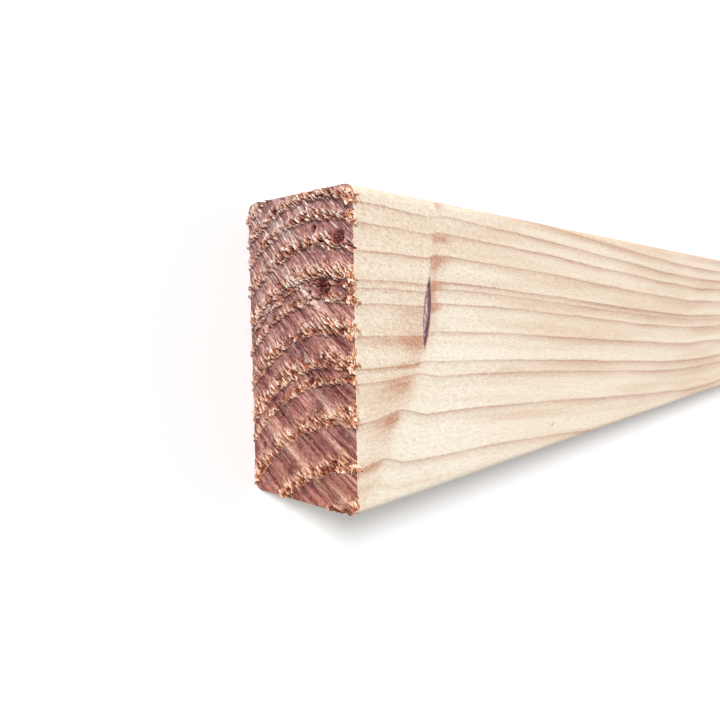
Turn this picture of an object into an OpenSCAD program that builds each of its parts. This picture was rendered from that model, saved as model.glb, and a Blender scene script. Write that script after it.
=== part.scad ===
// Planed softwood framing plank with eased long edges, square sawn ends
// and one narrow spike knot whose bark has fallen out of a wide face.
// The plank lies on a wide face: X runs along it, Y across it and Z up.
// Origin: centre of the underside. All sizes are in millimetres.

/* [Plank] */
// Length along the grain
plank_length = 2400; // [600:100:6000]
// Width of the two wide faces
plank_width = 90; // [70:5:290]
// Thickness between the wide faces
plank_thickness = 45; // [19:1:90]
// Radius of the four eased long edges
arris_radius = 3; // [1:0.5:6]

/* [Spike knot pocket] */
// Distance from the sawn end to the middle of the pocket
knot_from_end = 32; // [8:1:300]
// Distance of the middle of the pocket from the middle of the face
knot_off_middle = 10.5; // [-15:0.5:15]
// Length of the pocket across the face
knot_length = 21; // [8:1:30]
// Widest opening of the pocket along the grain
knot_opening = 3.2; // [0.8:0.1:5]
// Depth of the pocket below the face
knot_depth = 1.6; // [0.5:0.1:6]
// Lean of the pocket away from square across the grain, in degrees
knot_lean = 7; // [-30:1:30]

/* [Hidden] */
$fn = 64;

// How far a cutting shape reaches past the surface that it opens
overcut = 1;
// Two equal arcs that meet in points make the pocket's lens outline
knot_arc_radius = (pow(knot_length, 2) + pow(knot_opening, 2)) / (4 * knot_opening);
knot_arc_offset = knot_arc_radius - knot_opening / 2;

// Waste outside one eased edge, with its rounding centred on the origin
module arris_waste() {
    difference() {
        square(arris_radius + overcut);
        circle(r = arris_radius);
    }
}

// Cross section of the plank, centred, with its width along x
module plank_section() {
    difference() {
        square([plank_width, plank_thickness], center = true);
        for (side = [0, 1], face = [0, 1])
            mirror([side, 0])
                mirror([0, face])
                    translate([plank_width / 2 - arris_radius, plank_thickness / 2 - arris_radius])
                        arris_waste();
    }
}

// The sawn and planed length of timber before the knot opens it
module planed_stock() {
    translate([0, 0, plank_thickness / 2])
        rotate([90, 0, 90])
            linear_extrude(height = plank_length, center = true)
                plank_section();
}

// Lens outline of the pocket, pointed at both ends of its length along y
module knot_outline() {
    intersection() {
        translate([knot_arc_offset, 0])
            circle(r = knot_arc_radius);
        translate([-knot_arc_offset, 0])
            circle(r = knot_arc_radius);
    }
}

// Space that the lost bark leaves open in the upper wide face
module knot_pocket() {
    translate([knot_from_end - plank_length / 2, knot_off_middle, plank_thickness - knot_depth])
        rotate([0, 0, -knot_lean])
            linear_extrude(height = knot_depth + overcut)
                knot_outline();
}

module plank() {
    color("wheat")
        difference() {
            planed_stock();
            knot_pocket();
        }
}

plank();
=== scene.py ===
"""Dresses a planed softwood plank: its figured faces, torn sawn ends and spike knot."""

import math
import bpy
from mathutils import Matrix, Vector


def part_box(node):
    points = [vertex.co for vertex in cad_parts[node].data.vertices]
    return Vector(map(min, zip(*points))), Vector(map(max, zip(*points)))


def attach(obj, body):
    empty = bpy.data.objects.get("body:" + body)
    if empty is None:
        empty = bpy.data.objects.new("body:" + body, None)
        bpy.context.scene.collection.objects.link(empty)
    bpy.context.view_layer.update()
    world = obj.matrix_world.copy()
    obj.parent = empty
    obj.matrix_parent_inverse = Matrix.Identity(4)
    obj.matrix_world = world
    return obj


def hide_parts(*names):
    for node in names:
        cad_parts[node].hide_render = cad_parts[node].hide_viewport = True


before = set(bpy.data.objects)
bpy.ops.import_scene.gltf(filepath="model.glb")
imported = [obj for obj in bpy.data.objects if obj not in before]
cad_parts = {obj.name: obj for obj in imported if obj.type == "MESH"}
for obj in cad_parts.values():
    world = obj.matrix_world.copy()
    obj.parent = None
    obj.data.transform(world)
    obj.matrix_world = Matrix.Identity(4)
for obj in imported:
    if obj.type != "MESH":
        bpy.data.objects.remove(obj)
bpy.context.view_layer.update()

from types import SimpleNamespace

import bpy
from mathutils import Matrix, Vector

bl_info = {
    "name": "Timber Plank",
    "version": (1, 0, 0),
    "blender": (4, 5, 0),
    "location": "3D View > Sidebar > Timber Plank",
    "description": "Models a planed softwood plank with torn sawn ends and a spike knot",
    "category": "Add Mesh",
}

LOW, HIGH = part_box("plank")
BODY = "root"
MM = 0.001

# The photograph's side in pixels, the camera's sensor in millimetres and the floor in metres
IMAGE_SIDE = 720
SENSOR_WIDTH = 36
CLIP_START = 5 * MM
FLOOR_SIDE = 60
WHITE = (1, 1, 1, 1)

# Fineness of the meshes
ARRIS_SEGMENTS = 8
LENS_SIDES = 512
END_CELLS_THROUGH = 190
END_CELLS_ACROSS = 380
BARK_SIDES = 64

# Seeds of the random draws for the loose fibres
PLACE_SEED = 5
TURN_SEED = 11
SIZE_SEED = 23
TONE_SEED = 37

# How much deeper the damp sawn ends are than their plain colours
DAMP_DEPTH = 0.6

# Growth ring edges up the plank's middle at its near end, in millimetres
RING_EDGES = (-75, -61, -47, -33, -19.5, -8, -3.5, 6, 15, 19.5, 21.5, 30, 37.5, 43, 49,
              56, 63, 70, 78, 86, 95, 105)


def srgb(red, green, blue):
    """A colour written as on a screen, 0 to 255, as Blender's linear colour."""
    def linear(level):
        share = level / 255
        return share / 12.92 if share <= 0.04045 else ((share + 0.055) / 1.055) ** 2.4
    return (linear(red), linear(green), linear(blue), 1.0)


def colour_property(name, description, *levels):
    """A colour that a user can change, written as on a screen."""
    return bpy.props.FloatVectorProperty(
        name=name, description=description, default=srgb(*levels), size=4, min=0, max=1,
        subtype="COLOR")


def length_property(name, description, default):
    """A length in metres that a user can change."""
    return bpy.props.FloatProperty(
        name=name, description=description, default=default, min=0, precision=4, unit="LENGTH")


def angle_property(name, description, degrees):
    """An angle that a user can change."""
    return bpy.props.FloatProperty(
        name=name, description=description, default=math.radians(degrees), subtype="ANGLE")


def strength_property(name, description, default):
    """A strength of light that a user can change."""
    return bpy.props.FloatProperty(name=name, description=description, default=default, min=0)


class PlankSizes(bpy.types.PropertyGroup):
    """Sizes of the plank and of the pocket in its knot"""
    length: length_property("Length", "Length along the grain", HIGH.x - LOW.x)
    width: length_property("Width", "Width of the wide faces", HIGH.y - LOW.y)
    thickness: length_property("Thickness", "Distance between the wide faces", HIGH.z - LOW.z)
    arris: length_property("Eased edge", "Radius of the eased long edges", 3 * MM)
    end_depth: length_property("Sawn end depth", "Depth of the sawn end pieces", 4 * MM)
    knot_from_end: length_property("Knot from end", "From the near end to the knot", 32 * MM)
    knot_off_middle: length_property("Knot off middle", "From the middle of the face", 10.5 * MM)
    knot_length: length_property("Knot length", "Length of the pocket across the face", 21 * MM)
    knot_opening: length_property("Knot opening", "Widest opening of the pocket", 3.2 * MM)
    knot_depth: length_property("Knot depth", "Depth of the pocket", 1.6 * MM)
    knot_lean: angle_property("Knot lean", "Turn of the pocket from square across the grain", 7)


class PlankColours(bpy.types.PropertyGroup):
    """Colours of the planed faces, the sawn ends and the knot"""
    early: colour_property("Earlywood", "Pale wood between the ring lines", 244, 231, 210)
    warm: colour_property("Warm wood", "Darker clouds in the pale wood", 231, 208, 183)
    late: colour_property("Latewood", "Ring lines on planed faces", 178, 126, 101)
    stain: colour_property("Branch stain", "Brown stain beside the branch", 197, 144, 117)
    # Also laid as the painted highlight beside the high edge
    halo: colour_property("Branch halo", "Bleached wood behind the branch", 250, 244, 226)
    bark: colour_property("Bark", "Crumbled bark in the knot", 146, 112, 114)
    # Also laid as painted shade round the pocket's rim and at the edges of the bark
    bark_dark: colour_property("Bark cracks", "Cracks in the bark", 118, 86, 90)
    bark_speck: colour_property("Bark specks", "Pale specks in the bark", 200, 182, 178)
    sawn: colour_property("Sawn end", "Cleanly cut wood on the sawn ends", 178, 115, 117)
    sawn_warm: colour_property("Warm sawn end", "Browner low part of the ends", 182, 116, 102)
    sawn_dark: colour_property("Sawn ring", "Dense ring edge on the sawn ends", 108, 36, 32)
    sawn_shade: colour_property("Sawn shade", "Damp patches on the sawn ends", 112, 66, 72)
    sawn_pale: colour_property("Sawn streaks", "Pale saw streaks", 222, 172, 160)
    # Laid paler over the high part of the ends: partly scuffed wood, partly painted light
    scuff_and_light: colour_property("Bleached end", "Bleached high part of the ends", 232, 204, 202)
    torn: colour_property("Torn wood", "Torn wood in the soft rings", 210, 143, 104)
    # Also laid as painted shade in the pits and in the gaps between torn tufts
    torn_dark: colour_property("Torn pits", "Pits between torn fibres", 106, 18, 2)
    torn_pale: colour_property("Torn tips", "Pale tips of torn fibres", 254, 247, 237)
    torn_warm: colour_property("Warm torn tips", "Torn tips low on the ends", 252, 228, 206)
    # On the steep sides of the tufts it is partly painted shade
    gold: colour_property("Burr", "Burr and the sides of torn tufts", 196, 124, 70)
    hole: colour_property("Hole", "Crumbled wood in the holes of a sawn end", 72, 28, 24)
    floor: colour_property("Floor", "Plain studio floor", 239, 239, 239)


class StageSettings(bpy.types.PropertyGroup):
    """Light and camera"""
    key: strength_property("Key light", "Strength of the soft key light", 3.2)
    key_spread: angle_property("Key spread", "Apparent width of the key light", 11)
    key_from: bpy.props.FloatVectorProperty(
        name="Key direction", description="Direction that the key light comes from",
        default=(-0.85, 0.54, 0.85), size=3, subtype="DIRECTION")
    fill: strength_property("Fill light", "Strength of the light from all round", 0.43)
    floor_glow: strength_property("Floor glow", "Light that the floor adds where seen", 0.09)
    eye: bpy.props.FloatVectorProperty(
        name="Camera place", description="Camera place, measured from the foot of the near end",
        default=(-120 * MM, 10 * MM, 159 * MM), size=3, subtype="TRANSLATION")
    look_down: angle_property("Look down", "How far the camera looks down along the plank", 43.1)
    tilt: angle_property("Tilt", "How far the camera tilts across the plank", 4.1)
    roll: angle_property("Roll", "How far the picture is turned", 0.9)
    focal_pixels: bpy.props.FloatProperty(
        name="Focal length", description="Focal length in pixels of the picture",
        default=620, min=1)


class PlankSettings(bpy.types.PropertyGroup):
    """All settings of the plank"""
    sizes: bpy.props.PointerProperty(type=PlankSizes)
    colours: bpy.props.PointerProperty(type=PlankColours)
    stage: bpy.props.PointerProperty(type=StageSettings)


def operation(name, swapped=False):
    """A method that joins a term with others in one math node."""
    def method(self, *others):
        values = (*others, self) if swapped else (self, *others)
        return self.net.math(name, *values)
    return method


class Term:
    """A number inside a node tree, so that formulas read as plain arithmetic."""

    def __init__(self, net, socket):
        self.net = net
        self.socket = socket

    __add__ = operation("ADD")
    __radd__ = operation("ADD", swapped=True)
    __sub__ = operation("SUBTRACT")
    __rsub__ = operation("SUBTRACT", swapped=True)
    __mul__ = operation("MULTIPLY")
    __rmul__ = operation("MULTIPLY", swapped=True)
    __truediv__ = operation("DIVIDE")
    __pow__ = operation("POWER")
    __abs__ = operation("ABSOLUTE")
    whole = operation("FLOOR")
    fraction = operation("FRACT")
    root = operation("SQRT")
    at_least = operation("MAXIMUM")
    at_most = operation("MINIMUM")

    def hill(self, width):
        """1 where this is zero, falling to nothing over a width on both sides."""
        share = self / width
        return self.net.math("EXPONENT", share * share * -1.0)

    def rise(self, low, high):
        """0 up to low, then smoothly to 1 at high and beyond. It falls if high is below low."""
        if high < low:
            return 1.0 - self.rise(high, low)
        inputs = {"Value": self, "From Min": low, "From Max": high}
        node = self.net.add("ShaderNodeMapRange", inputs, interpolation_type="SMOOTHSTEP")
        return Term(self.net, node.outputs["Result"])


class Wiring:
    """Adds nodes to one node tree and joins them, taking terms, sockets or plain values alike."""

    def __init__(self, tree):
        self.tree = tree

    def add(self, kind, inputs=None, **settings):
        """A new node with its settings, and what goes into its named inputs."""
        node = self.tree.nodes.new(kind)
        for name, value in settings.items():
            setattr(node, name, value)
        for name, value in (inputs or {}).items():
            self.feed(node.inputs[name], value)
        return node

    def feed(self, socket, value):
        if isinstance(value, Term):
            value = value.socket
        if isinstance(value, bpy.types.NodeSocket):
            self.tree.links.new(value, socket)
        else:
            socket.default_value = value

    def math(self, operation, *values):
        node = self.add("ShaderNodeMath", operation=operation)
        for socket, value in zip(node.inputs, values):
            self.feed(socket, value)
        return Term(self, node.outputs[0])

    def vector(self, x, y, z):
        node = self.add("ShaderNodeCombineXYZ")
        for socket, value in zip(node.inputs, (x, y, z)):
            self.feed(socket, value)
        return node.outputs[0]

    def parts(self, vector):
        node = self.add("ShaderNodeSeparateXYZ")
        self.feed(node.inputs[0], vector)
        return [Term(self, socket) for socket in node.outputs]

    def noise(self, x, y, z, detail=2.0, roughness=0.5):
        """Smooth noise from 0 to 1 with hills about one unit apart."""
        inputs = {"Vector": self.vector(x, y, z), "Scale": 1.0, "Detail": detail,
                  "Roughness": roughness}
        node = self.add("ShaderNodeTexNoise", inputs, noise_dimensions="3D")
        return Term(self, node.outputs[0])

    def curve(self, value, corners):
        """A bent line through corners that run from 0, 0 to 1, 1."""
        node = self.add("ShaderNodeFloatCurve")
        curve = node.mapping.curves[0]
        curve.points[0].location = corners[0]
        curve.points[1].location = corners[-1]
        for across, up in corners[1:-1]:
            curve.points.new(across, up)
        for point in curve.points:
            point.handle_type = "VECTOR"
        node.mapping.update()
        self.feed(node.inputs["Value"], value)
        return Term(self, node.outputs[0])

    def steps(self, value, edges):
        """Counts evenly from 0 at the first edge to 1 more at each edge after it."""
        low, span, last = edges[0], edges[-1] - edges[0], len(edges) - 1
        corners = [((edge - low) / span, index / last) for index, edge in enumerate(edges)]
        return self.curve((value - low) / span, corners) * last

    def edges(self, number, edges):
        """The edge with a number, the reverse of steps."""
        low, span, last = edges[0], edges[-1] - edges[0], len(edges) - 1
        corners = [(index / last, (edge - low) / span) for index, edge in enumerate(edges)]
        return self.curve(number / last, corners) * span + low

    def blend(self, share, first, second, how="MIX"):
        """Mixes two colours."""
        node = self.add("ShaderNodeMix", data_type="RGBA", blend_type=how, clamp_factor=True)
        self.feed(node.inputs[0], share)
        self.feed(node.inputs[6], first)
        self.feed(node.inputs[7], second)
        return node.outputs[2]

    def layers(self, colour, *coats):
        """Lays coats over a colour, each a share and a colour of its own."""
        for share, coat in coats:
            colour = self.blend(share, colour, coat)
        return colour

    def attribute(self, name):
        """A value that the piece's mesh carries, read by its material."""
        return Term(self, self.add("ShaderNodeAttribute", attribute_name=name).outputs["Fac"])


def grain_field(net, position):
    """Follows the growth rings, in millimetres from the middle of the near end's foot."""
    sizes = bpy.context.scene.timber_plank.sizes
    metres_x, metres_y, metres_z = net.parts(position)
    x = metres_x / MM + sizes.length / 2 / MM
    y = metres_y / MM
    z = metres_z / MM
    # The rings drop and spread along the first stretch, then wander slowly
    sweep = x.rise(-20, 350)
    wander = (net.noise(x / 420, 0.0, 7.3, detail=1.0) - 0.5) * x.rise(300, 700) * 40
    wobble = (net.noise(x / 45, y / 16, z / 16, detail=1.0) - 0.5) * 1.2
    tremor = (net.noise(x / 7, y / 5, z / 5, detail=2.0) - 0.5) * 0.5
    level = (y + sweep * 17.6 + wander) / (1.0 + sweep * 0.146) + wobble + tremor
    # A branch crosses the upper face, and the rings part round it
    corner = (y * y + 16).root() - 4
    branch = x - (30.3 + y * 0.43 - corner * 0.245 - y.rise(4, 20) * 1.7)
    near_face = z.rise(28, 43)
    upper = y.rise(-14, 1)
    dip = branch.rise(3, -3) * upper * -1.2
    bump = branch.hill(9) * (1.0 - upper) * 2.5
    level = level - (dip + bump) * near_face
    # The rings bow round the tree's middle, which lies past the -Y side, near the upper face
    side = z - 40.5 + level * 0.2
    ring = net.steps(level + side * side / 100, RING_EDGES)
    number = ring.whole()
    phase = ring.fraction()
    # The ring's breadth, and how far a point lies below its upper edge and above its lower one
    pitch = net.edges(number + 1, RING_EDGES) - net.edges(number, RING_EDGES)
    return SimpleNamespace(x=x, y=y, z=z, level=level, sweep=sweep, branch=branch,
                           near_face=near_face, number=number, pitch=pitch,
                           below=(1.0 - phase) * pitch, above=phase * pitch)


def decay(distance, width):
    """1 at no distance, fading to nothing over a few widths."""
    return distance.net.math("EXPONENT", (distance / width) * -1.0)


def start_material(name):
    """A new material, the wiring of its nodes and its surface shader."""
    material = bpy.data.materials.new(name)
    material.use_nodes = True
    surface = material.node_tree.nodes["Principled BSDF"]
    return material, Wiring(material.node_tree), surface


def object_place(net):
    return net.add("ShaderNodeTexCoord").outputs["Object"]


def set_surface(net, surface, colour, roughness, gloss):
    """Gives a surface its colour and says how matt it is."""
    net.feed(surface.inputs["Base Color"], colour)
    net.feed(surface.inputs["Roughness"], roughness)
    net.feed(surface.inputs["Specular IOR Level"], gloss)


def add_bump(net, surface, height, depth):
    """Fine relief, with its depth in metres."""
    node = net.add("ShaderNodeBump", {"Distance": depth, "Height": height})
    net.feed(surface.inputs["Normal"], node.outputs["Normal"])


# The saw's way down across the end: its share up the thickness and its share across the width
SAW_UP = 0.77
SAW_ACROSS = 0.63


def saw_way(y, z):
    """Distances along and across the saw's slightly bent way over an end, in millimetres."""
    through = z - 22.5
    bend = through * through / 900 - through * y * 0.0035
    return z * SAW_UP - y * SAW_ACROSS, y * SAW_UP + z * SAW_ACROSS - bend


# Stains beside the branch: millimetres from the near end and from the middle of the face,
# half length, half height and strength
STAINS = ((35.5, 24.5, 3, 4, 1.0), (39, 26.5, 5.5, 2, 0.8), (38.5, 33, 6, 1.6, 0.8),
          (37.5, 43.5, 3.5, 1.6, 0.8), (37, 18.8, 4.5, 1.3, 0.8), (36, 12.3, 4, 1.5, 0.6),
          (27.5, 1, 6, 4, 1.2), (16, 2, 10, 2.5, 0.5), (25, 9, 9, 4, 0.6), (34.8, 13, 2, 7, 0.7),
          (24.5, -4.6, 6, 1.2, 1.0), (14, -4.8, 10, 1, 0.4), (20.5, -10.5, 8, 2.6, 1.0),
          (15, -13.5, 8, 3, 0.4), (18, -20.2, 7, 2, 1.2), (12, -23.5, 6, 4, 0.6),
          (6, -32, 8, 1.8, 0.7), (3, -38, 6, 3, 0.3))

# Dark specks in the upper face: millimetres from the near end and from the middle, and radius
SPECKS = ((116, -35.5, 0.6), (25, -27.5, 0.3), (13, 16.5, 0.3))


def face_specks(grain):
    """Small dark specks at listed places."""
    total = grain.y * 0.0
    for x, y, radius in SPECKS:
        total = total + (grain.x - x).hill(radius * 1.6) * (grain.y - y).hill(radius)
    return total * grain.near_face


def branch_stain(grain):
    """Brown stains under the ring lines, before the branch low down and behind it high up."""
    total = grain.y * 0.0
    for x, y, length, height, strength in STAINS:
        spot = (grain.x - x).hill(length) * (grain.y - y).hill(height) * strength
        if y > 10:
            spot = spot * grain.branch.rise(-1.5, 0.3)
        else:
            spot = spot * grain.branch.rise(2.5, -2.0)
        total = total + spot
    return total * grain.near_face * (decay(grain.below, 3.0) * 0.7 + 0.3)


def beyond_pocket(x, y):
    """Distance outside the outline of the knot's pocket, less than nothing within it."""
    sizes = bpy.context.scene.timber_plank.sizes
    length, opening = sizes.knot_length / MM, sizes.knot_opening / MM
    radius = (length ** 2 + opening ** 2) / (4 * opening)
    along = x - sizes.knot_from_end / MM
    up = y - sizes.knot_off_middle / MM
    across = along * math.cos(sizes.knot_lean) - up * math.sin(sizes.knot_lean)
    down = up * math.cos(sizes.knot_lean) + along * math.sin(sizes.knot_lean)
    return (down * down + (abs(across) + (radius - opening / 2)) ** 2.0).root() - radius


def ring_lines(net, grain):
    """The dark latewood of each ring, whose strength changes along it."""
    strength = net.noise(grain.x / 70, grain.number * 5.3, 0.0, detail=1.0).rise(0.3, 0.7)
    thin = decay(grain.below, 0.40 + grain.sweep * 1.6)
    soft = decay(grain.below, 1.6 + grain.sweep * 1.6)
    upper_side = decay(grain.above, 0.12 + grain.sweep * 0.35)
    return (thin * 0.62 + soft * 0.38).at_least(upper_side) * (strength * 0.45 + 0.55)


def face_noises(net, grain):
    """Fibres that run with the rings, slow clouds, and the slanting nap that the planer left."""
    x, level, z = grain.x, grain.level, grain.z
    slant = x * 0.82 - grain.y * 0.57
    square = x * 0.57 + grain.y * 0.82
    return SimpleNamespace(
        wisp=net.noise(x / 38, level * 0.9, z * 0.9, detail=3.0, roughness=0.6),
        fleck=net.noise(x / 3.0, level * 1.4, z * 1.4, detail=3.0, roughness=0.65),
        nap=net.noise(slant * 0.9, square * 1.8, z * 1.5, detail=3.0, roughness=0.7),
        cloud=net.noise(x / 120, level / 6, z / 6, detail=2.0),
        fibre=net.noise(x / 9, level * 2.2, z * 2.2, detail=2.0, roughness=0.6))


def pale_wood(net, grain, noises, colours):
    """Pale wood with warm clouds, bleached behind the branch, with a painted highlight along the
    high edge.
    """
    branch = grain.branch
    halo = branch.rise(0, 8) * branch.rise(95, 15) * grain.near_face * grain.y.rise(34, 10)
    bleach = (grain.y + 15).hill(13) * branch.rise(1, 6) * branch.rise(60, 20) * grain.near_face
    # Painted highlight: a paler band beside the high edge near the end
    painted_edge_highlight = grain.y.rise(35, 40) * grain.x.rise(85, 50) * grain.near_face
    sunny = branch.rise(4, -8) * grain.near_face
    return net.layers(
        net.blend(noises.cloud.rise(0.35, 0.7), colours.early, colours.warm),
        (sunny * 0.16, colours.warm),
        (halo * noises.cloud.rise(0.8, 0.3) * 0.75, colours.halo),
        (bleach * 0.6 + painted_edge_highlight * 0.5, colours.halo),
        (noises.wisp.rise(0.5, 0.75) * 0.35, colours.warm))


def planed_softwood(colours):
    """Pale planed wood with ring lines, fibre streaks and the stain beside the branch."""
    material, net, surface = start_material("planed_face")
    grain = grain_field(net, object_place(net))
    noises = face_noises(net, grain)
    late = ring_lines(net, grain)
    stain = branch_stain(grain) * (noises.wisp * 2.4 + 0.3)
    # The nap stands up near the end, and further along the fibres show instead
    smoothness = grain.x.rise(30, 130)
    near_nap = noises.nap * (1.0 - smoothness * 0.7) * 0.5
    rough = noises.fleck * 0.5 + near_nap + noises.fibre * smoothness * 0.35
    raised = (1.0 - smoothness) * (grain.y.rise(-28, 2) * 0.8 + 0.2)
    # The rim of the knot's pocket is ragged, and the wood along it is darkened as painted shade
    ragged = beyond_pocket(grain.x, grain.y) + (noises.nap - 0.5) * 2.5
    rim = ragged.rise(0.5, 0.0) * grain.near_face
    colour = net.layers(
        pale_wood(net, grain, noises, colours),
        (late * 0.9, colours.late),
        (stain, colours.stain),
        (rough.rise(0.4, 0.75) * 0.36, colours.late),
        (rough.rise(0.55, 0.2) * 0.5, colours.halo),
        (noises.nap.rise(0.5, 0.72) * raised * 0.24, colours.late),
        (noises.nap.rise(0.5, 0.28) * raised * 0.4, colours.halo),
        (face_specks(grain) * 0.5, colours.sawn_dark),
        # Painted shade round the pocket's ragged rim
        (rim * 0.8, colours.bark_dark))
    set_surface(net, surface, colour, 0.7 - late * 0.1, 0.3)
    add_bump(net, surface, rough + late * 0.4, 0.08 * MM)
    return material


# What the mesh of a sawn end tells its material
END_NOTES = ("torn", "tuft", "pit", "hole", "band", "scratch", "dense", "foot", "steep",
             "score", "shade")


def read_end(net, colours):
    """The notes on a sawn end's mesh, its saw's way, its fine noises and its change of tone."""
    x, y, z = net.parts(object_place(net))
    end = SimpleNamespace(**{name: net.attribute(name) for name in END_NOTES})
    end.deep = x / MM
    end.along, end.across = saw_way(y / MM, z / MM)
    end.fine = net.noise(end.along * 0.6, end.across * 2.2, end.deep, detail=3.0, roughness=0.65)
    end.speck = net.noise(end.along * 1.6, end.across * 2.6, end.deep, detail=2.0, roughness=0.6)
    # The high part of the end is paler, partly scuffed wood and partly painted light, and the low
    # part is browner
    height = (y - z * 0.6) / MM
    end.scuff_and_light = (height + (end.fine - 0.5) * 60).rise(-25, 40)
    end.cool = (height + (end.fine - 0.5) * 40).rise(-60, 5)
    end.tips = net.blend(end.cool, colours.torn_warm, colours.torn_pale)
    return end


def smooth_rings(net, end, colours):
    """Dense wood that the saw cut cleanly, darkest at the edge of each ring."""
    return net.layers(
        net.blend(end.cool, colours.sawn_warm, colours.sawn),
        (end.dense, colours.sawn_dark),
        (end.dense.rise(0.6, 1.0) * 0.7, colours.torn_dark),
        (end.band.rise(0.46, 0.62) * 0.5, colours.sawn_pale),
        (end.band.rise(0.5, 0.38) * 0.55, colours.sawn_dark),
        (end.scratch.rise(0.54, 0.68) * 0.5, end.tips),
        (end.scratch.rise(0.45, 0.34) * 0.6, colours.sawn_dark))


def torn_rings(net, end, colours):
    """Soft wood that the saw tore: pale tips, golden sides that are partly painted shade, and gaps
    darkened as painted shade.
    """
    return net.layers(
        net.blend(end.cool * 0.3, colours.torn, colours.sawn_pale),
        (end.foot * 0.65, colours.gold),
        (end.tuft.rise(0.49, 0.57), end.tips),
        # Painted shade in the gaps between the tufts
        (end.tuft.rise(0.49, 0.42), colours.torn_dark),
        (end.band.rise(0.48, 0.34) * 0.5, colours.sawn_dark),
        (end.speck.rise(0.52, 0.66) * 0.4, end.tips),
        (end.speck.rise(0.48, 0.34) * 0.4, colours.torn_dark),
        # Golden brown on the steep sides of the tufts: partly the fibres' own colour, partly
        # painted shade
        (end.steep.rise(0.12, 0.5) * (0.95 - end.cool * 0.4), colours.gold))


def saw_streaks(net, end, colours):
    """Coats of pale and dark streaks, fine hairs, damp patches and bright scores."""
    streak = net.noise(end.along / 50, end.across * 0.55, end.deep, detail=2.0)
    swath = (0.45 - end.cool * 0.25) * (1.0 - end.torn * 0.5)
    hair = net.noise(end.along / 16, end.across * 1.9, end.deep, detail=1.0).rise(0.58, 0.72)
    return ((streak.rise(0.5, 0.62) * swath, colours.sawn_pale),
            (streak.rise(0.48, 0.38) * swath, colours.sawn_shade),
            # The fine hairs grow brighter towards the high part, as painted light
            (hair * (end.scuff_and_light * 0.8 + 0.2), colours.torn_pale),
            (end.shade * (1.0 - end.torn * 0.6), colours.sawn_shade),
            (end.score * (end.scratch + end.fine * 0.7 - 0.1), end.tips))


def sawn_end_grain(colours):
    """Sawn end grain: smooth dense rings, torn soft rings and slanting saw streaks."""
    material, net, surface = start_material("sawn_end")
    end = read_end(net, colours)
    grit = end.torn * 0.2 + 0.4
    crumbs = net.blend(end.speck.rise(0.53, 0.66), colours.hole, colours.sawn)
    colour = net.layers(
        smooth_rings(net, end, colours),
        (end.torn, torn_rings(net, end, colours)),
        # Painted light, with scuffs: the high part of the end is laid paler
        (end.scuff_and_light * (1.0 - end.torn * 0.7) * 0.3, colours.scuff_and_light),
        *saw_streaks(net, end, colours),
        (end.fine.rise(0.52, 0.7) * grit, end.tips),
        (end.fine.rise(0.49, 0.33) * grit, colours.sawn_dark))
    # Damp sawn wood is deeper and richer in its darker tones
    colour = net.blend(DAMP_DEPTH, colour, colour, how="MULTIPLY")
    # Painted shade in the pits among the torn fibres, then the holes' crumbled wood over it
    colour = net.layers(colour, (end.pit, colours.torn_dark), (end.hole, crumbs))
    set_surface(net, surface, colour, 0.85, 0.2)
    add_bump(net, surface, end.fine, 0.12 * MM)
    return material


def torn_fibre(colours):
    """Loose fibres, from brown roots to pale tips, each with its own tone."""
    material, net, surface = start_material("loose_fibre")
    tone = net.attribute("tone")
    tip = net.attribute("tip")
    height = net.parts(object_place(net))[2] / MM
    colour = net.layers(
        net.blend(height.rise(42, 45) * 0.3, colours.torn, colours.gold),
        ((tone + tip * 0.4).rise(0.4, 1.2), colours.torn_warm),
        ((tone - tip * 0.3).rise(0.2, -0.1) * 0.6, colours.torn_dark))
    set_surface(net, surface, colour, 0.85, 0.2)
    return material


def crumbled_bark(colours):
    """Dark crumbled bark with pale specks, with painted light along the pocket's middle and
    painted shade at its edges.
    """
    material, net, surface = start_material("crumbled_bark")
    x, y, z = (place / MM for place in net.parts(object_place(net)))
    lump = net.noise(x * 1.3, y * 0.6, z * 1.3, detail=4.0, roughness=0.65)
    length = bpy.context.scene.timber_plank.sizes.length / MM
    # Painted light and shade: the bark is laid lighter along the pocket's middle and darker
    # towards its edges
    middle = beyond_pocket(x + length / 2, y).rise(-0.1, -1.2)
    shade = lump + middle * 0.24 - 0.14
    colour = net.blend(shade.rise(0.31, 0.5), colours.bark_dark, colours.bark)
    colour = net.blend(shade.rise(0.53, 0.66), colour, colours.bark_speck)
    set_surface(net, surface, colour, 0.9, 0.2)
    add_bump(net, surface, lump, 0.2 * MM)
    return material


def deselect_all():
    if bpy.context.mode != "OBJECT":
        bpy.ops.object.mode_set(mode="OBJECT")
    bpy.ops.object.select_all(action="DESELECT")


def select_only(piece):
    deselect_all()
    piece.hide_set(False)
    piece.select_set(True)
    bpy.context.view_layer.objects.active = piece


def add_object(operator, name, **settings):
    """Adds one object with an operator of Blender's and names it."""
    deselect_all()
    operator(**settings)
    thing = bpy.context.object
    thing.name = name
    return thing


def face_outwards():
    """Turns all faces of the piece in edit mode outwards and leaves that mode."""
    bpy.ops.mesh.select_all(action="SELECT")
    bpy.ops.mesh.normals_make_consistent(inside=False)
    bpy.ops.object.mode_set(mode="OBJECT")


def settle(piece):
    """Puts the piece's place, turn and size into its mesh."""
    select_only(piece)
    bpy.ops.object.transform_apply(location=True, rotation=True, scale=True)


def apply_modifier(piece, kind, **settings):
    """Adds one modifier, sets it and applies it."""
    select_only(piece)
    modifier = piece.modifiers.new(kind.title(), kind)
    for name, value in settings.items():
        setattr(modifier, name, value)
    bpy.ops.object.modifier_apply(modifier=modifier.name)


def remove_object(thing):
    bpy.data.objects.remove(thing, do_unlink=True)


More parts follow.
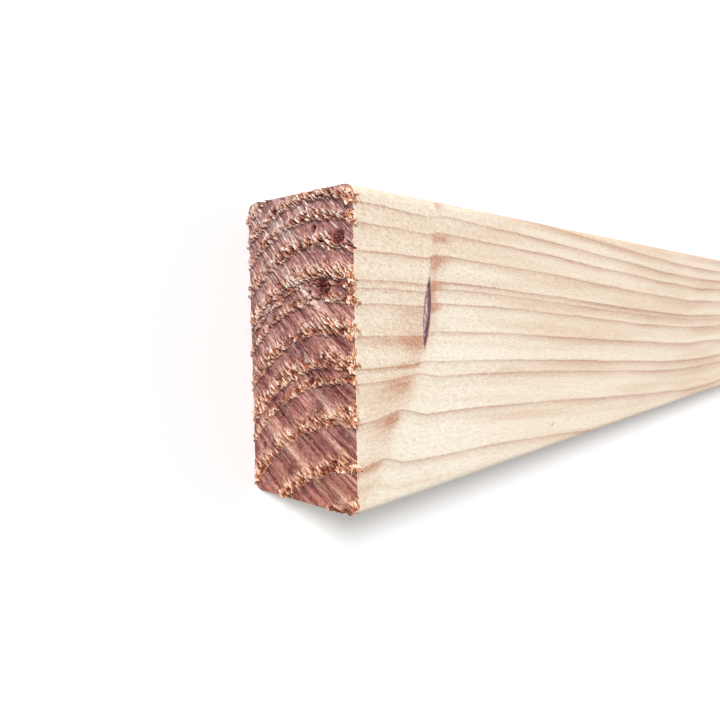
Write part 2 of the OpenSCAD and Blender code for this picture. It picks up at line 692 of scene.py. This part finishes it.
def finish_piece(piece, material, smooth_angle):
    """Gives a piece its material, shading and place in the frame."""
    if not piece.data.polygons:
        raise RuntimeError(piece.name + " has no faces")
    select_only(piece)
    bpy.ops.object.shade_smooth_by_angle(angle=math.radians(smooth_angle))
    if material is not None:
        piece.data.materials.clear()
        piece.data.materials.append(material)
    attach(piece, BODY)


def start_geometry(name):
    """A new Geometry Nodes tree: the wiring of its nodes, what comes in and where it leaves."""
    tree = bpy.data.node_groups.new(name, "GeometryNodeTree")
    tree.interface.new_socket(name="Geometry", in_out="INPUT", socket_type="NodeSocketGeometry")
    tree.interface.new_socket(name="Geometry", in_out="OUTPUT", socket_type="NodeSocketGeometry")
    net = Wiring(tree)
    source = net.add("NodeGroupInput").outputs[0]
    result = net.add("NodeGroupOutput").inputs[0]
    return tree, net, source, result


def point_place(net):
    """Where each point of the geometry lies, in metres."""
    return net.parts(net.add("GeometryNodeInputPosition").outputs[0])


def random_value(net, kind, low, high, seed):
    """A random number or vector for every point."""
    node = net.add("FunctionNodeRandomValue", data_type=kind)
    first = 0 if kind == "FLOAT_VECTOR" else 2
    node.inputs[first].default_value = low
    node.inputs[first + 1].default_value = high
    node.inputs["Seed"].default_value = seed
    return node.outputs[0 if kind == "FLOAT_VECTOR" else 1]


def note(net, geometry, name, value, domain="POINT"):
    """Keeps a value on the geometry under a name."""
    inputs = {"Name": name, "Value": value, "Geometry": geometry}
    node = net.add("GeometryNodeStoreNamedAttribute", inputs, data_type="FLOAT", domain=domain)
    return node.outputs[0]


def add_lens(sizes, opening, depth, reach, name):
    """A solid with the lens outline of the knot's pocket, where two round shapes overlap."""
    radius = (sizes.knot_length ** 2 + opening ** 2) / (4 * opening)
    offset = radius - opening / 2
    rounds = []
    for way in (-1, 1):
        rounds.append(add_object(
            bpy.ops.mesh.primitive_cylinder_add, name, vertices=LENS_SIDES, radius=radius,
            depth=depth + reach, location=(way * offset, 0, (reach - depth) / 2)))
        settle(rounds[-1])
    lens, other = rounds
    apply_modifier(lens, "BOOLEAN", operation="INTERSECT", object=other, solver="EXACT")
    remove_object(other)
    lens.rotation_euler.z = -sizes.knot_lean
    lens.location = (LOW.x + sizes.knot_from_end, sizes.knot_off_middle, HIGH.z)
    settle(lens)
    return lens


class TIMBER_OT_planed_body(bpy.types.Operator):
    """Model the planed length with its eased edges and the open pocket of the knot"""
    bl_idname = "timber.planed_body"
    bl_label = "Planed Body"

    def execute(self, context):
        settings = context.scene.timber_plank
        sizes = settings.sizes
        body = self.add_length(sizes)
        self.ease_edges(body, sizes)
        body.data.materials.append(planed_softwood(settings.colours))
        pocket = add_lens(sizes, sizes.knot_opening, sizes.knot_depth, 1 * MM, "knot_cutter")
        pocket.data.materials.append(crumbled_bark(settings.colours))
        apply_modifier(body, "BOOLEAN", operation="DIFFERENCE", object=pocket, solver="EXACT",
                       material_mode="TRANSFER")
        remove_object(pocket)
        finish_piece(body, None, 30)
        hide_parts("plank")
        return {"FINISHED"}

    def add_length(self, sizes):
        """A box between the two sawn ends."""
        body = add_object(bpy.ops.mesh.primitive_cube_add, "planed_body", size=1,
                          location=(0, 0, sizes.thickness / 2))
        body.scale = (sizes.length - 2 * sizes.end_depth, sizes.width, sizes.thickness)
        settle(body)
        return body

    def ease_edges(self, body, sizes):
        """Rounds the four long edges."""
        select_only(body)
        bpy.ops.object.mode_set(mode="EDIT")
        bpy.ops.mesh.select_mode(type="EDGE")
        bpy.ops.mesh.select_all(action="DESELECT")
        bpy.ops.object.mode_set(mode="OBJECT")
        points = body.data.vertices
        for edge in body.data.edges:
            first, second = (points[index].co for index in edge.vertices)
            edge.select = abs(first.x - second.x) > sizes.length / 2
        bpy.ops.object.mode_set(mode="EDIT")
        bpy.ops.mesh.bevel(
            offset=sizes.arris, segments=ARRIS_SEGMENTS, profile=0.5, affect="EDGES")
        bpy.ops.object.mode_set(mode="OBJECT")


# Marks on the near end, in millimetres up its width and through its thickness.
# Dark pits: place and radius
PITS = ((18, 33, 3.0), (31.3, 39.3, 2.2), (34.5, 29.5, 1.1), (29.5, 21, 1.0), (29.5, 24.5, 1.0),
        (27.5, 16.5, 0.8), (41, 13, 0.8), (19.5, 14, 0.7), (16.5, 27.5, 0.8), (9.5, 11, 0.6),
        (-1.5, 33, 0.9), (-3, 9.5, 0.7), (-8.5, 28, 1.1), (-20, 14, 0.9), (-28.5, 21.5, 0.9),
        (-30, 5, 0.9), (-31.5, 36.5, 1.1), (-33.5, 33.5, 0.8))
# Bright scores of the saw: start, end, half breadth and strength
SCORES = ((24, 15, 10.5, 35.5, 0.8, 0.9), (18, 4, 8, 10.5, 1.3, 0.7), (39, 10, 33, 21, 1.6, 0.5),
          (-22, 5, -38, 29.5, 1.4, 0.7), (-10.5, 28.5, -22.5, 44.5, 1.3, 0.6),
          (-23, 32, -28.5, 41, 0.8, 0.6), (-37.5, 34, -42.5, 44, 1.0, 0.6))
# Dark patches of damp wood: place, half height, half breadth and strength
SHADES = ((-16.5, 31, 3.0, 3.5, 0.6), (-31, 10, 3.0, 3.5, 0.7), (-36.5, 19.5, 3.0, 3.0, 0.45),
          (-22.5, 41, 3.5, 4.0, 0.5), (-6.5, 11.5, 2.5, 3.0, 0.5), (0.5, 23, 2.0, 4.0, 0.4),
          (-27, 32, 3.0, 4.0, 0.4))


def saw_marks(net, grain, side):
    """Noises drawn out along the saw's way, with others on each end."""
    along, across = saw_way(grain.y, grain.z)
    across = across + side * 41
    return SimpleNamespace(
        band=net.noise(along / 45, across / 3.2, 1.0, detail=1.5),
        scratch=net.noise(along / 18, across * 1.0, 4.0, detail=2.0, roughness=0.6),
        tuft=net.noise(along / 4.5, across * 1.4, 7.0, detail=3.0, roughness=0.65),
        gap=net.noise(along / 2.4, across * 1.3, 12.0, detail=1.0),
        patch=net.noise(along / 9, across / 7, 2.0, detail=1.0))


def ridge_mask(distance, breadth):
    """The torn strip above a ring line: sharp where it starts and soft where it ends."""
    share = distance / breadth
    return distance.rise(-0.1, 0.25) * share.rise(1.15, 0.4)


def pit_mask(grain):
    """Holes at listed places in the near end."""
    holes = grain.y * 0.0
    for up, through, radius in PITS:
        far = ((grain.y - up) * (grain.y - up) + (grain.z - through) * (grain.z - through)).root()
        holes = holes.at_least(far.rise(radius * 1.3, radius * 0.4))
    return holes


def score_mask(grain):
    """Bright lines that single teeth of the saw drew across the end."""
    total = grain.y * 0.0
    for up, through, end_up, end_through, breadth, strength in SCORES:
        run = math.hypot(end_up - up, end_through - through)
        way_up, way_through = (end_up - up) / run, (end_through - through) / run
        along = (grain.y - up) * way_up + (grain.z - through) * way_through
        beside = (grain.y - up) * way_through - (grain.z - through) * way_up
        total = total + beside.hill(breadth) * (along - run / 2).hill(run / 2) * strength
    return total


def shade_mask(grain):
    """Soft dark patches at listed places."""
    total = grain.y * 0.0
    for up, through, height, breadth, strength in SHADES:
        total = total + (grain.y - up).hill(height) * (grain.z - through).hill(breadth) * strength
    return total


def round_outline(sizes, y, z):
    """Draws an end in to the round of the eased edges, and says how far in each point lies."""
    half_width = sizes.width / 2
    half_thick = sizes.thickness / 2
    over = (abs(y) - (half_width - sizes.arris)).at_least(0.0)
    reach = (sizes.arris ** 2 - over * over).at_least(0.0).root() + (half_thick - sizes.arris)
    z = (z - half_thick) * (reach / half_thick) + half_thick
    inside = (half_width - abs(y)).at_most(reach - abs(z - half_thick)) / MM
    return z, inside


def torn_strips(grain, marks):
    """Torn strips that follow the ring lines and overhang the line below, and the pits in them."""
    drag = (marks.tuft - 0.5) * 5.0 + (marks.band - 0.5) * 3.0
    breadth = (grain.pitch * 0.6).at_most(5.5) * (marks.patch * 1.4 + marks.band * 1.2 - 0.15)
    own = ridge_mask(grain.above + drag, breadth)
    overhang = ridge_mask(drag - grain.below, breadth)
    torn = own.at_least(overhang) * marks.patch.rise(0.22, 0.4)
    pit = marks.gap.rise(0.50, 0.42) * own * grain.above.rise(3.2, 1.2) * 0.95
    return torn, pit


def sawn_relief(side):
    """Geometry Nodes that round the outline of an end and tear its soft rings."""
    tree, net, source, result = start_geometry("sawn_relief")
    x, y, z = point_place(net)
    z, inside = round_outline(bpy.context.scene.timber_plank.sizes, y, z)
    grain = grain_field(net, net.vector(x, y, z))
    marks = saw_marks(net, grain, side)
    torn, pit = torn_strips(grain, marks)
    # The photograph shows the near end alone, and the far end goes without its own marks
    shown = 1.0 if side < 0 else 0.0
    hole = pit_mask(grain) * marks.gap.rise(0.22, 0.42) * shown
    pit = pit.at_least(hole)
    # Chips along the outline where the torn rings meet it
    chip = inside.rise(1.1, 0.0) * torn * marks.gap.rise(0.6, 0.4) * 1.2
    lump = torn * (0.25 + marks.tuft.rise(0.35, 0.7) * (grain.y.rise(-30, 15) * 0.6 + 0.7))
    height = lump + (marks.band + marks.scratch - 1.0) * 0.5 - pit * 1.2 - chip
    # What the material needs to know is kept on the mesh before the points move
    notes = {"torn": torn, "tuft": marks.tuft, "pit": pit, "hole": hole,
             "dense": decay(grain.below, 3.2), "band": marks.band, "scratch": marks.scratch,
             "foot": decay(grain.above, 1.7), "score": score_mask(grain) * shown,
             "shade": shade_mask(grain) * shown}
    kept = source
    for name, value in notes.items():
        kept = note(net, kept, name, value)
    place = net.vector(x + height * (side * MM), y, z)
    mover = net.add("GeometryNodeSetPosition", {"Geometry": kept, "Position": place})
    # The sides of the tufts stand steep to the cut, which is known once the points have moved
    slope = net.parts(net.add("GeometryNodeInputNormal").outputs[0])[0]
    net.feed(result, note(net, mover.outputs[0], "steep", 1.0 - abs(slope)))
    return tree


class TIMBER_OT_sawn_ends(bpy.types.Operator):
    """Model the two sawn ends with their torn rings and chipped edges"""
    bl_idname = "timber.sawn_ends"
    bl_label = "Sawn Ends"

    def execute(self, context):
        settings = context.scene.timber_plank
        material = sawn_end_grain(settings.colours)
        planed = bpy.data.objects["planed_body"].data.materials[0]
        for name, side in (("sawn_end_near", -1), ("sawn_end_far", 1)):
            end = self.add_face(settings.sizes, name, side)
            apply_modifier(end, "NODES", node_group=sawn_relief(side))
            self.close_back(end, settings.sizes, side)
            finish_piece(end, None, 50)
            end.data.materials.append(material)
            end.data.materials.append(planed)
        return {"FINISHED"}

    def add_face(self, sizes, name, side):
        """A fine grid over one end."""
        end = add_object(
            bpy.ops.mesh.primitive_grid_add, name, size=1,
            x_subdivisions=END_CELLS_THROUGH, y_subdivisions=END_CELLS_ACROSS,
            location=(side * sizes.length / 2, 0, sizes.thickness / 2),
            rotation=(0, side * math.pi / 2, 0))
        end.scale = (sizes.thickness, sizes.width, 1)
        settle(end)
        return end

    def close_back(self, end, sizes, side):
        """Carries the outline back to the planed length and closes it there."""
        select_only(end)
        bpy.ops.object.mode_set(mode="EDIT")
        bpy.ops.mesh.select_mode(type="EDGE")
        bpy.ops.mesh.select_all(action="SELECT")
        bpy.ops.mesh.region_to_loop()
        bpy.ops.mesh.extrude_region_move(TRANSFORM_OT_translate={"value": (0, 0, 0)})
        bpy.ops.object.mode_set(mode="OBJECT")
        back = side * (sizes.length / 2 - sizes.end_depth)
        for point in end.data.vertices:
            if point.select:
                point.co.x = back
        bpy.ops.object.mode_set(mode="EDIT")
        bpy.ops.mesh.edge_face_add()
        face_outwards()
        self.mark_planed(end, back)

    def mark_planed(self, end, back):
        """Gives the planed sides of the end the second material."""
        points = end.data.vertices
        for face in end.data.polygons:
            on_back = any(abs(points[index].co.x - back) < 1e-6 for index in face.vertices)
            face.material_index = 1 if on_back else 0


def model_sliver(name, width, steps):
    """One torn fibre: a five-sided strip that lifts and tapers along its steps."""
    sliver = add_object(
        bpy.ops.mesh.primitive_circle_add, name, vertices=5, radius=width / 2 * MM,
        fill_type="NGON", rotation=(0, -math.pi / 2, 0))
    settle(sliver)
    bpy.ops.object.mode_set(mode="EDIT")
    bpy.ops.mesh.select_mode(type="FACE")
    bpy.ops.mesh.select_all(action="SELECT")
    place = Vector((0, 0, 0))
    for run, lift, taper in steps:
        move = Vector((run, 0, lift)) * MM
        place = place + move
        bpy.ops.mesh.extrude_region_move(TRANSFORM_OT_translate={"value": move})
        bpy.ops.transform.resize(value=(1, taper, taper), center_override=place)
    face_outwards()
    return sliver


# Each sliver's width, and the run, lift and taper of its steps, in millimetres
SLIVERS = {
    "short_sliver": (0.40, ((0.40, 0.06, 1.0), (0.40, 0.14, 0.7), (0.35, 0.05, 0.3))),
    "long_sliver": (0.36, ((0.60, 0.10, 0.9), (0.70, 0.20, 0.8), (0.70, 0.20, 0.25))),
    "broad_sliver": (0.55, ((0.40, 0.10, 1.2), (0.50, 0.10, 0.8), (0.40, -0.05, 0.5))),
}
LONGEST_RUN = 2 * MM

# Slivers on a square millimetre of torn wood, and more of them along the burr
SLIVER_DENSITY = 0.06
BURR_DENSITY = 5.0
PER_SQUARE_MM = 1e6

# How far a sliver may turn about its own axes, in radians
LEAST_TURN = (-0.5, -0.45, -0.5)
MOST_TURN = (0.5, 0.15, 0.5)


def sliver_shapes(net, slivers):
    """All sliver models to pick from, which carry how far along them a point lies as tip."""
    shapes = net.add("GeometryNodeJoinGeometry")
    for sliver in slivers:
        info = net.add("GeometryNodeObjectInfo", {"Object": sliver})
        run = point_place(net)[0]
        marked = note(net, info.outputs["Geometry"], "tip", run / LONGEST_RUN)
        instance = net.add("GeometryNodeGeometryToInstance")
        net.feed(instance.inputs[0], marked)
        net.feed(shapes.inputs[0], instance.outputs[0])
    return shapes.outputs[0]


def sliver_turn(net, side):
    """Every sliver lies along the saw's way, turned a little and leaning out of the end."""
    way = {"Primary Axis": (side, 0, 0), "Secondary Axis": (0, -SAW_ACROSS, SAW_UP)}
    axes = net.add("FunctionNodeAxesToRotation", way, primary_axis="Z", secondary_axis="X")
    turn = net.add("FunctionNodeEulerToRotation")
    angles = random_value(net, "FLOAT_VECTOR", LEAST_TURN, MOST_TURN, TURN_SEED)
    net.feed(turn.inputs[0], angles)
    both = net.add("FunctionNodeRotateRotation", rotation_space="LOCAL")
    net.feed(both.inputs[0], axes.outputs[0])
    net.feed(both.inputs[1], turn.outputs[0])
    return both.outputs[0]


def sliver_places(net, mesh, burr, thick, side):
    """Random points on the sawn face of an end, and none on its planed sides."""
    planed_side = Term(net, net.add("GeometryNodeInputMaterialIndex").outputs[0])
    density = thick * (burr * BURR_DENSITY + SLIVER_DENSITY) * PER_SQUARE_MM
    inputs = {"Mesh": mesh, "Selection": 1.0 - planed_side, "Density": density,
              "Seed": PLACE_SEED + side}
    points = net.add("GeometryNodeDistributePointsOnFaces", inputs, distribute_method="RANDOM")
    return points.outputs["Points"]


def scatter_slivers(slivers, side):
    """Geometry Nodes that replace an end's mesh by slivers along its torn rings."""
    tree, net, source, result = start_geometry("scatter_slivers")
    up, high = (place / MM for place in point_place(net)[1:])
    burr = high.rise(42.0, 44.5)
    noted = net.add("GeometryNodeInputNamedAttribute", {"Name": "torn"}, data_type="FLOAT")
    torn = Term(net, noted.outputs[0])
    thick = torn.rise(0.4, 0.9) * high.rise(0.5, 5.0) * up.rise(-43.5, -40.0)
    size = Term(net, random_value(net, "FLOAT", 0.45, 1.1, SIZE_SEED)) * (burr * 0.1 + 1.0)
    copies = net.add("GeometryNodeInstanceOnPoints", {
        "Points": sliver_places(net, source, burr, thick, side),
        "Instance": sliver_shapes(net, slivers), "Pick Instance": True,
        "Rotation": sliver_turn(net, side), "Scale": size})
    tone = random_value(net, "FLOAT", 0.0, 1.0, TONE_SEED)
    toned = note(net, copies.outputs[0], "tone", tone, "INSTANCE")
    real = net.add("GeometryNodeRealizeInstances", {"Geometry": toned})
    net.feed(result, real.outputs[0])
    return tree


class TIMBER_OT_torn_fibres(bpy.types.Operator):
    """Scatter loose slivers along the torn rings of both ends"""
    bl_idname = "timber.torn_fibres"
    bl_label = "Torn Fibres"

    def execute(self, context):
        material = torn_fibre(context.scene.timber_plank.colours)
        slivers = [model_sliver(name, *shape) for name, shape in SLIVERS.items()]
        for name, end_name, side in (("torn_fibres_near", "sawn_end_near", -1),
                                     ("torn_fibres_far", "sawn_end_far", 1)):
            select_only(bpy.data.objects[end_name])
            bpy.ops.object.duplicate()
            fibres = bpy.context.object
            fibres.name = name
            apply_modifier(fibres, "NODES", node_group=scatter_slivers(slivers, side))
            finish_piece(fibres, material, 40)
        for sliver in slivers:
            remove_object(sliver)
        return {"FINISHED"}


def bark_relief():
    """Geometry Nodes that crumble the bark's surface."""
    tree, net, source, result = start_geometry("bark_relief")
    x, y, z = (place / MM for place in point_place(net))
    lump = net.noise(x * 0.9, y * 0.45, z * 0.9, detail=3.0, roughness=0.6)
    offset = net.vector(0.0, 0.0, (lump - 0.55) * (1.6 * MM))
    mover = net.add("GeometryNodeSetPosition", {"Geometry": source, "Offset": offset})
    net.feed(result, mover.outputs[0])
    return tree


class TIMBER_OT_knot_bark(bpy.types.Operator):
    """Model the crumbled bark that is left in the knot's pocket"""
    bl_idname = "timber.knot_bark"
    bl_label = "Knot Bark"

    def execute(self, context):
        settings = context.scene.timber_plank
        sizes = settings.sizes
        place = Vector((LOW.x + sizes.knot_from_end, sizes.knot_off_middle,
                        HIGH.z - 0.75 * sizes.knot_depth))
        bark = add_object(
            bpy.ops.mesh.primitive_uv_sphere_add, "knot_bark", segments=BARK_SIDES,
            ring_count=BARK_SIDES, radius=1, location=place, rotation=(0, 0, -sizes.knot_lean))
        bark.scale = (sizes.knot_opening * 0.48, sizes.knot_length * 0.49, sizes.knot_depth * 0.6)
        settle(bark)
        apply_modifier(bark, "NODES", node_group=bark_relief())
        finish_piece(bark, bpy.data.materials["crumbled_bark"], 60)
        return {"FINISHED"}


class TIMBER_OT_stage(bpy.types.Operator):
    """Set the plain floor, the soft light and the camera"""
    bl_idname = "timber.stage"
    bl_label = "Stage"

    def execute(self, context):
        settings = context.scene.timber_plank
        self.add_floor(settings)
        self.add_lights(context.scene, settings.stage)
        self.add_camera(context.scene, settings)
        context.scene.view_settings.view_transform = "Standard"
        return {"FINISHED"}

    def seen_rays(self, net):
        """1 for rays that see a surface straight, in a gloss or through glass."""
        path = net.add("ShaderNodeLightPath")
        seen = Term(net, path.outputs["Is Camera Ray"])
        for name in ("Is Glossy Ray", "Is Transmission Ray"):
            seen = seen.at_least(Term(net, path.outputs[name]))
        return seen

    def add_floor(self, settings):
        """A wide matt floor."""
        floor = add_object(bpy.ops.mesh.primitive_plane_add, "floor", size=FLOOR_SIDE)
        material, net, surface = start_material("studio_floor")
        set_surface(net, surface, settings.colours.floor, 1.0, 0.0)
        surface.inputs["Emission Color"].default_value = WHITE
        glow = self.seen_rays(net) * settings.stage.floor_glow
        net.feed(surface.inputs["Emission Strength"], glow)
        floor.data.materials.append(material)

    def add_lights(self, scene, stage):
        """A soft key light, and a surround that looks white but lights less."""
        key = add_object(bpy.ops.object.light_add, "key_light", type="SUN")
        key.data.energy = stage.key
        key.data.angle = stage.key_spread
        key.rotation_euler = Vector(stage.key_from).to_track_quat("Z", "Y").to_euler()
        world = bpy.data.worlds.new("studio")
        world.use_nodes = True
        scene.world = world
        net = Wiring(world.node_tree)
        background = world.node_tree.nodes["Background"]
        background.inputs["Color"].default_value = WHITE
        seen = self.seen_rays(net)
        net.feed(background.inputs["Strength"], seen * (1.0 - stage.fill) + stage.fill)

    def add_camera(self, scene, settings):
        """A plain camera where the photograph was taken from."""
        stage = settings.stage
        sine = math.sin(stage.look_down)
        cosine = math.cos(stage.look_down)
        axes = Matrix(((sine, 0, cosine), (0, 1, 0), (-cosine, 0, sine)))
        axes = Matrix.Rotation(stage.roll, 3, "Z") @ Matrix.Rotation(stage.tilt, 3, "X") @ axes
        foot = Vector((LOW.x, 0, LOW.z))
        camera = add_object(bpy.ops.object.camera_add, "photo_camera")
        camera.location = foot + Vector(stage.eye)
        camera.rotation_euler = axes.transposed().to_euler()
        camera.data.sensor_width = SENSOR_WIDTH
        camera.data.lens = stage.focal_pixels / IMAGE_SIDE * SENSOR_WIDTH
        camera.data.clip_start = CLIP_START
        scene.camera = camera


OPERATORS = (TIMBER_OT_planed_body, TIMBER_OT_sawn_ends, TIMBER_OT_torn_fibres,
             TIMBER_OT_knot_bark, TIMBER_OT_stage)


class TIMBER_PT_plank(bpy.types.Panel):
    """Lists the pieces of the plank and its stage"""
    bl_idname = "TIMBER_PT_plank"
    bl_label = "Timber Plank"
    bl_space_type = "VIEW_3D"
    bl_region_type = "UI"
    bl_category = "Timber Plank"

    def draw(self, context):
        for operator in OPERATORS:
            self.layout.operator(operator.bl_idname)


CLASSES = (PlankSizes, PlankColours, StageSettings, PlankSettings, *OPERATORS, TIMBER_PT_plank)


def register():
    for item in CLASSES:
        bpy.utils.register_class(item)
    bpy.types.Scene.timber_plank = bpy.props.PointerProperty(type=PlankSettings)


def unregister():
    del bpy.types.Scene.timber_plank
    for item in reversed(CLASSES):
        bpy.utils.unregister_class(item)


def main():
    register()
    bpy.ops.timber.planed_body()
    bpy.ops.timber.sawn_ends()
    bpy.ops.timber.torn_fibres()
    bpy.ops.timber.knot_bark()
    bpy.ops.timber.stage()


if __name__ == "__main__":
    main()
